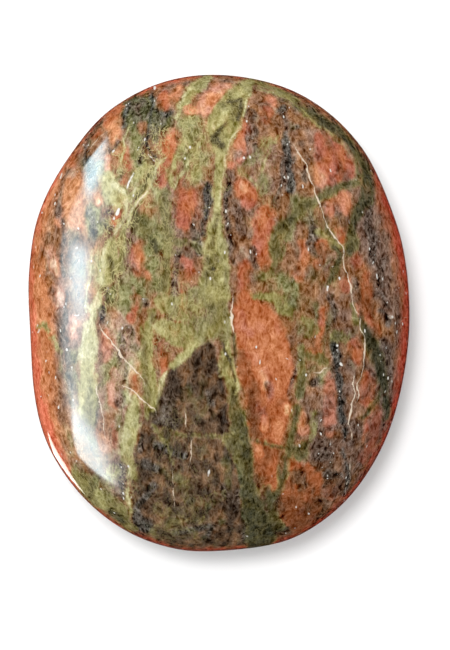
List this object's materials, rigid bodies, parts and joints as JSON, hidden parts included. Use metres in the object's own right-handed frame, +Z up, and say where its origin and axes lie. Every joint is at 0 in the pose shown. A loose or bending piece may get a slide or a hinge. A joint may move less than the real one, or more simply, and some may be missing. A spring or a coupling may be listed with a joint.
{
  "type": "palm stone",
  "caption": "Polished oval palm stone of unakite: a rounded, flattened pebble of pink and orange feldspar with green veins, lying flat on a small ground spot on its underside.",
  "frame": {"origin": "centre of the stone's outline, at the level of the flat spot that it rests on", "axes": "+Z up through the crest, +Y along the stone's longest way, +X across its width"},
  "size_m": [0.052, 0.065, 0.022],
  "materials": {
    "unakite": "polished"
  },
  "bodies": {
    "root": {"stone": "unakite"}
  },
  "joints": []
}
